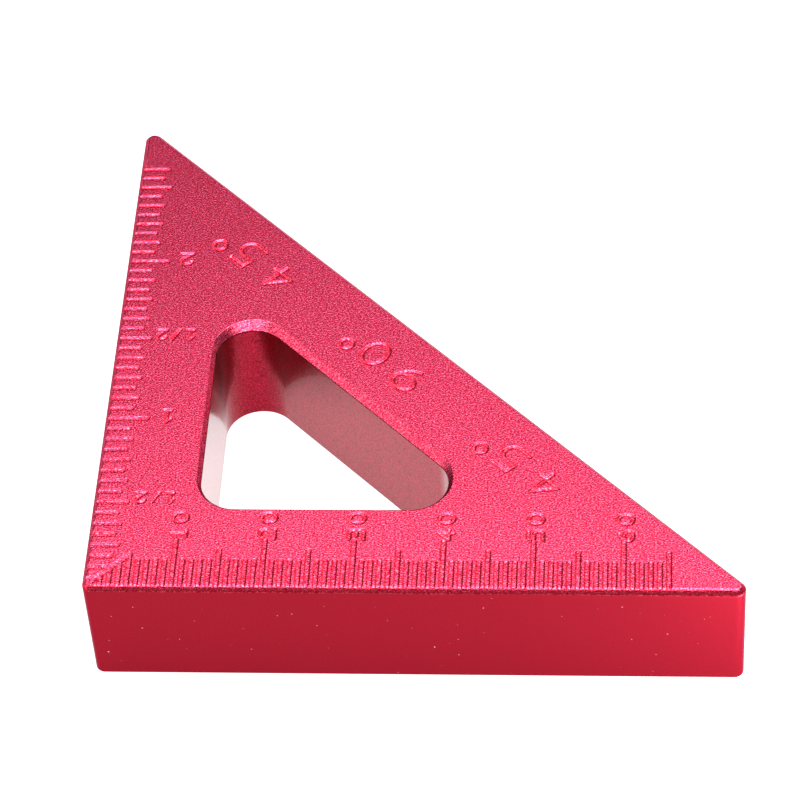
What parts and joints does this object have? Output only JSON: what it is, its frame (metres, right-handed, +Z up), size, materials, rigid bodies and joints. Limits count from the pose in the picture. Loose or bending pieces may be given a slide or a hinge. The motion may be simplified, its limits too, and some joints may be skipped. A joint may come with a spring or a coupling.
{
  "type": "triangle square",
  "caption": "Small thick 45 degree triangle square in red anodised aluminium, with engraved millimetre and inch scales and a rounded triangular cut-out.",
  "frame": {"origin": "centre of the bounding box, on the lower face", "axes": "+X along the millimetre-scale edge, away from the right-angled corner; +Y along the inch-scale edge, away from the same corner; +Z up, out of the engraved face"},
  "size_m": [0.0734, 0.0734, 0.015],
  "materials": {
    "anodised_red": "bead-blasted faces and satin sides, red anodised"
  },
  "bodies": {
    "root": {"square_body": "anodised_red"}
  },
  "joints": []
}
